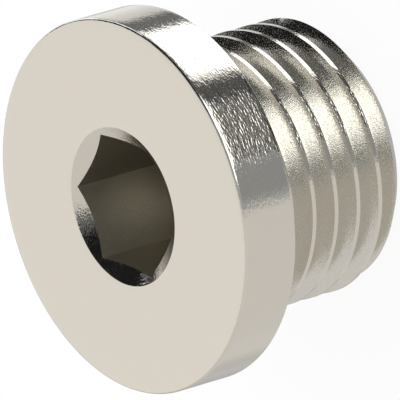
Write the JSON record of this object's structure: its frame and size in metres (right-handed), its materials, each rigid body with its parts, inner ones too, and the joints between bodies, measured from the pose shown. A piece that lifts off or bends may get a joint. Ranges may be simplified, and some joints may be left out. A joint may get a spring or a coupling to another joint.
{
  "type": "hex socket plug",
  "caption": "Collared screw plug for a pipe port: round collar, parallel external thread and a blind hexagon socket in its face.",
  "frame": {"origin": "centre of the threaded end, which the plug stands on", "axes": "+Z along the thread's axis, out of the hexagon socket; +X through a corner of the hexagon"},
  "size_m": [0.018, 0.018, 0.012],
  "materials": {
    "nickel_plate": "turned brass with bright nickel plating, warm silver, fine turning marks"
  },
  "bodies": {
    "root": {"plug_body": "nickel_plate"}
  },
  "joints": []
}
